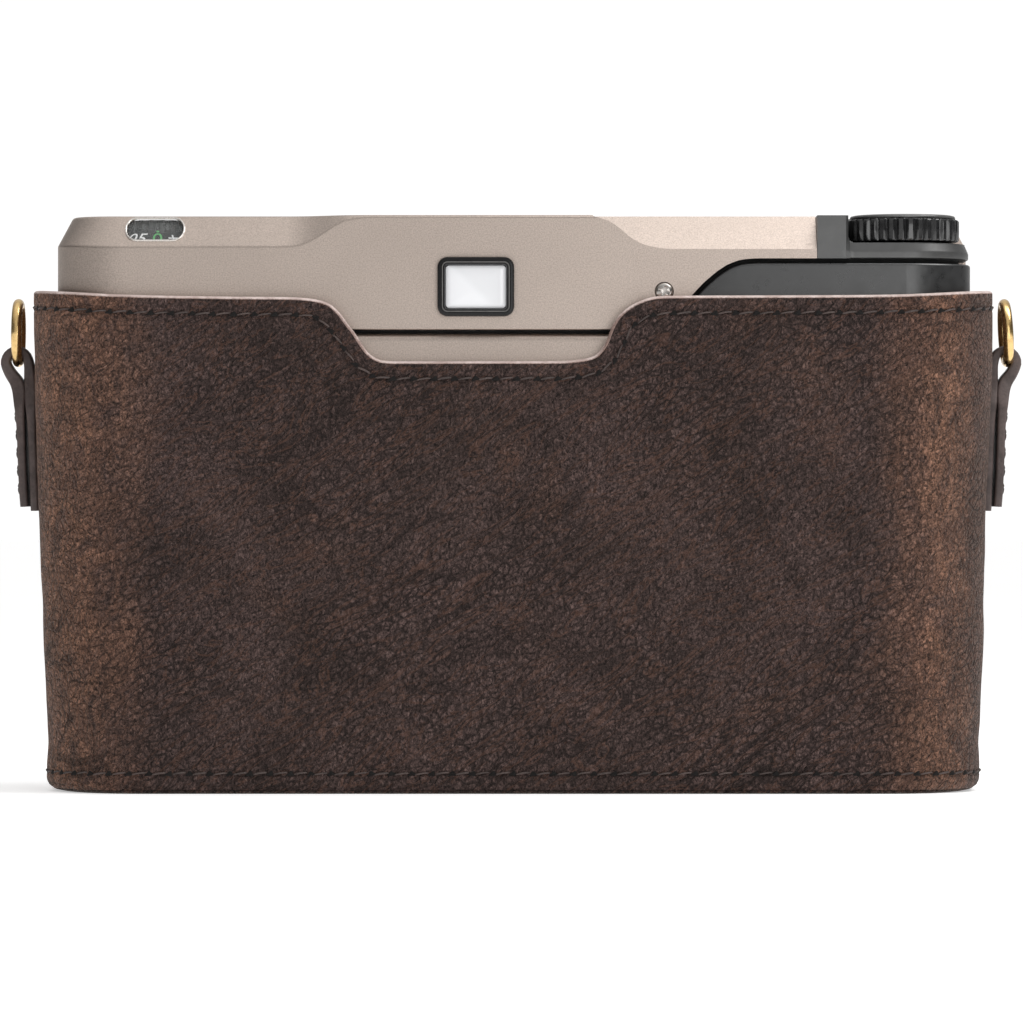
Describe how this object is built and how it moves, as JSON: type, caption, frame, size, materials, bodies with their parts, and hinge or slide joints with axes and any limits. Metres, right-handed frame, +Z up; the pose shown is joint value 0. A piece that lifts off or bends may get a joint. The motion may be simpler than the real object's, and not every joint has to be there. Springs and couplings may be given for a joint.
{
  "type": "half frame camera",
  "caption": "Compact metal film camera with a black thumb dial, eyepiece and dial window, standing in a stitched leather half case with strap rings; lens faces -Y.",
  "frame": {"origin": "on the underside of the leather case at the middle of its width and depth", "axes": "+X along the camera's width towards the compensation window end, +Y out of the camera's back, -Y out of the lens, +Z up"},
  "size_m": [0.1484, 0.052, 0.0833],
  "materials": {
    "titanium": "satin champagne grey",
    "black_plastic": "satin black",
    "black_metal": "satin black",
    "case_leather": "pebbled dark brown, worn",
    "tab_leather": "smooth grey brown",
    "pad_felt": "felt",
    "ring_brass": "polished",
    "bright_steel": "satin",
    "clear_glass": "polished",
    "skin_rubber": "fine grain",
    "board": "matt green"
  },
  "bodies": {
    "half_case": {"case_wall": "case_leather", "case_base": "case_leather", "case_pad": "pad_felt", "tab_left": "tab_leather", "tab_right": "tab_leather"},
    "left_ring": {"ring_left": "ring_brass"},
    "right_ring": {"ring_right": "ring_brass"},
    "base_screw": {"case_screw": "bright_steel"},
    "camera": {"bottom_cover": "titanium", "front_shell": "titanium", "back_door": "titanium", "thumb_panel": "black_plastic", "pressure_plate": "black_metal", "top_cover": "titanium", "comp_window": "clear_glass", "eyepiece_frame": "black_plastic", "eyepiece_glass": "clear_glass", "rear_screw": "bright_steel", "dial_housing": "black_plastic", "counter_window": "clear_glass", "finder_window": "clear_glass", "range_window_inner": "clear_glass", "range_window_outer": "clear_glass", "timer_lamp": "clear_glass", "grip_skin": "skin_rubber", "lens_mount": "bright_steel", "lens_barrel": "titanium", "chassis": "black_metal", "shutter_unit": "black_metal", "drive_motor": "bright_steel", "battery": "bright_steel", "circuit_board": "board", "finder_block": "clear_glass"},
    "comp_dial": {"comp_drum": "black_plastic", "comp_knob": "black_plastic"},
    "rear_dial": {"thumb_dial": "black_plastic", "dial_cap": "black_metal"},
    "speed_dial": {"shutter_dial": "titanium"},
    "power_ring": {"power_switch": "black_metal"},
    "release": {"shutter_button": "bright_steel"},
    "lens_release": {"release_button": "black_plastic"},
    "latch": {"door_latch": "black_metal"},
    "battery_cover": {"battery_cap": "titanium"},
    "aperture": {"aperture_ring": "titanium"},
    "focus": {"focus_ring": "black_metal"},
    "lens_front": {"lens_cell": "black_metal", "front_element": "clear_glass", "rear_element": "clear_glass", "iris": "black_metal"},
    "spool": {"take_up_spool": "black_plastic"},
    "film_sprocket": {"sprocket": "bright_steel"},
    "fork": {"rewind_fork": "bright_steel"}
  },
  "joints": [
    {"name": "left_ring_swing", "type": "hinge", "parent": "half_case", "child": "left_ring", "pos_m": [0.07175, 0, 0.0619], "axis": [0, 1, 0], "range_deg": [-8, 100]},
    {"name": "right_ring_swing", "type": "hinge", "parent": "half_case", "child": "right_ring", "pos_m": [-0.07175, 0, 0.0619], "axis": [0, -1, 0], "range_deg": [-8, 100]},
    {"name": "case_screw_turn", "type": "hinge", "parent": "half_case", "child": "base_screw", "pos_m": [-0.016, 0, 0.0013], "axis": [0, 0, 1], "continuous": true},
    {"name": "camera_lift", "type": "slide", "parent": "half_case", "child": "camera", "axis": [0, 0, 1], "range_m": [0, 0.095]},
    {"name": "comp_turn", "type": "hinge", "parent": "camera", "child": "comp_dial", "pos_m": [0.051, 0.003, 0.079], "axis": [0, 0, 1], "range_deg": [-74, 74]},
    {"name": "rear_dial_turn", "type": "hinge", "parent": "camera", "child": "rear_dial", "pos_m": [-0.056, 0.0063, 0.08], "axis": [0, 0, 1], "continuous": true},
    {"name": "speed_turn", "type": "hinge", "parent": "camera", "child": "speed_dial", "pos_m": [-0.03, -0.004, 0.082], "axis": [0, 0, 1], "range_deg": [-160, 160]},
    {"name": "power_turn", "type": "hinge", "parent": "camera", "child": "power_ring", "pos_m": [-0.056, -0.0092, 0.0827], "axis": [0, 0, 1], "range_deg": [-25, 0]},
    {"name": "release_press", "type": "slide", "parent": "camera", "child": "release", "axis": [0, 0, -1], "range_m": [0, 0.0008], "stiffness_N_per_m": 400, "springref_m": -0.001},
    {"name": "lens_release_press", "type": "slide", "parent": "camera", "child": "lens_release", "axis": [0, 1, 0], "range_m": [0, 0.001], "stiffness_N_per_m": 400, "springref_m": -0.001},
    {"name": "latch_slide", "type": "slide", "parent": "camera", "child": "latch", "axis": [0, 0, 1], "range_m": [0, 0.003]},
    {"name": "battery_cap_turn", "type": "hinge", "parent": "camera", "child": "battery_cover", "pos_m": [0.031, -0.0056, 0.007], "axis": [0, 0, 1], "range_deg": [0, 60]},
    {"name": "aperture_turn", "type": "hinge", "parent": "camera", "child": "aperture", "pos_m": [0.002, -0.023, 0.04], "axis": [0, -1, 0], "range_deg": [-45, 45]},
    {"name": "focus_turn", "type": "hinge", "parent": "camera", "child": "focus", "pos_m": [0.002, -0.028, 0.04], "axis": [0, -1, 0], "range_deg": [0, 120]},
    {"name": "focus_travel", "type": "slide", "parent": "camera", "child": "lens_front", "axis": [0, -1, 0], "range_m": [0, 0.003]},
    {"name": "spool_turn", "type": "hinge", "parent": "camera", "child": "spool", "pos_m": [-0.044, 0.0015, 0.037], "axis": [0, 0, 1], "continuous": true},
    {"name": "sprocket_turn", "type": "hinge", "parent": "camera", "child": "film_sprocket", "pos_m": [-0.0312, 0.0044, 0.037], "axis": [0, 0, 1], "continuous": true},
    {"name": "fork_turn", "type": "hinge", "parent": "camera", "child": "fork", "pos_m": [0.05, 0.001, 0.012], "axis": [0, 0, 1], "continuous": true}
  ],
  "couplings": [
    {"joint": "focus_travel", "follows": "focus_turn", "m_per_rad": 0.0014324}
  ]
}
